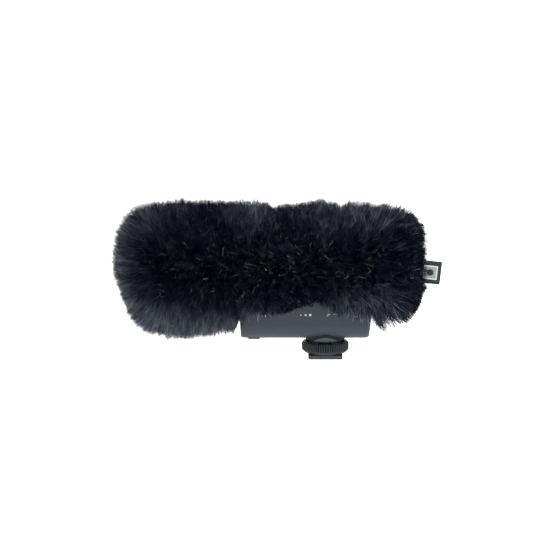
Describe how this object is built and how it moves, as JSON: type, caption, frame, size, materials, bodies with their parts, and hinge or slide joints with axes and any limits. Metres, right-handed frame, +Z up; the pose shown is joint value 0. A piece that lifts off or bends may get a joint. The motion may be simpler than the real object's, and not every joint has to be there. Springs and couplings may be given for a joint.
{
  "type": "camera microphone with furry windscreen",
  "caption": "Furry slip-on windscreen over a short shotgun microphone with a battery housing, side controls and a knurled camera-shoe clamp.",
  "frame": {"origin": "centre of the camera shoe foot's underside", "axes": "+Z up out of the foot, +X along the microphone towards its rear end and the label, -Y towards the side with the controls"},
  "size_m": [0.1737, 0.069, 0.0828],
  "materials": {
    "fur": "long synthetic pile, soft sheen",
    "felt": "matt felt",
    "elastic": "braided elastic cord",
    "label": "woven tape with a light woven frame",
    "shell": "fine-textured dark slate grey",
    "grille": "black-coated woven wire",
    "plastic": "moulded, matt",
    "foam": "open-cell foam",
    "elastomer": "soft, matt",
    "aluminium": "satin",
    "brass": "satin",
    "nickel": "plated, satin",
    "steel": "satin",
    "foot": "black anodised, worn edges",
    "wheel": "moulded, knurled",
    "board": "green solder mask",
    "cell": "printed shrink sleeve",
    "window": "translucent light pipe",
    "insulation": "black insulation"
  },
  "bodies": {
    "windscreen": {"fur_nose": "fur", "fur_body": "fur", "fur_rear": "fur", "felt_lining": "felt", "elastic_hem": "elastic", "label_tab": "label"},
    "microphone": {"basket_frame": "plastic", "grille_near": "grille", "grille_far": "grille", "foam_front": "foam", "foam_middle": "foam", "foam_rear": "foam", "suspension_front": "elastomer", "suspension_rear": "elastomer", "interference_tube": "aluminium", "tube_nose_grille": "aluminium", "capsule_housing": "aluminium", "diaphragm": "brass", "back_plate": "brass", "capsule_board": "board", "capsule_lead": "insulation", "housing_shell": "shell", "saddle_plate": "shell", "saddle_screw_1": "steel", "saddle_screw_2": "steel", "saddle_screw_3": "steel", "saddle_screw_4": "steel", "door_hinge_pin": "steel", "battery_tray": "plastic", "battery_near": "cell", "battery_far": "cell", "spring_near": "steel", "spring_far": "steel", "contact_front": "nickel", "contact_rear_near": "nickel", "contact_rear_far": "nickel", "control_board": "board", "main_board": "board", "sensitivity_switch": "nickel", "low_cut_switch": "nickel", "power_switch": "nickel", "volume_down_switch": "nickel", "volume_up_switch": "nickel", "status_light_pipe": "window", "output_socket": "insulation", "headphone_socket": "insulation", "shoe_boss": "shell", "shoe_foot": "foot", "stud_nut": "steel"},
    "battery_door": {"battery_door": "shell"},
    "sensitivity_knob": {"sensitivity_knob": "plastic"},
    "low_cut_knob": {"low_cut_knob": "plastic"},
    "volume_rocker": {"volume_rocker": "plastic"},
    "power_button": {"power_button": "plastic"},
    "wheel_carrier": {"clamp_washer": "elastomer"},
    "lock_wheel": {"wheel_hub": "brass", "wheel_rim": "wheel"}
  },
  "joints": [
    {"name": "windscreen_slide", "type": "slide", "parent": "microphone", "child": "windscreen", "axis": [-1, 0, 0], "range_m": [0, 0.165]},
    {"name": "battery_door_hinge", "type": "hinge", "parent": "microphone", "child": "battery_door", "pos_m": [0, 0.0112, 0.0147], "axis": [-1, 0, 0], "range_deg": [0, 100]},
    {"name": "sensitivity_slide", "type": "slide", "parent": "microphone", "child": "sensitivity_knob", "axis": [1, 0, 0], "range_m": [-0.0025, 0.0025]},
    {"name": "low_cut_slide", "type": "slide", "parent": "microphone", "child": "low_cut_knob", "axis": [1, 0, 0], "range_m": [0, 0.0028]},
    {"name": "volume_rock", "type": "hinge", "parent": "microphone", "child": "volume_rocker", "pos_m": [-0.0338, -0.0116, 0.031], "axis": [0, 0, 1], "range_deg": [-5, 5], "stiffness_Nm_per_rad": 0.02},
    {"name": "power_press", "type": "slide", "parent": "microphone", "child": "power_button", "axis": [0, 1, 0], "range_m": [0, 0.0005], "stiffness_N_per_m": 800, "springref_m": -0.001},
    {"name": "clamp_lift", "type": "slide", "parent": "microphone", "child": "wheel_carrier", "axis": [0, 0, 1], "range_m": [0, 0.0022]},
    {"name": "wheel_turn", "type": "hinge", "parent": "wheel_carrier", "child": "lock_wheel", "pos_m": [0, 0, 0.003], "axis": [0, 0, 1], "range_deg": [0, 790]}
  ],
  "couplings": [
    {"joint": "clamp_lift", "follows": "wheel_turn", "m_per_rad": 0.00015915}
  ]
}
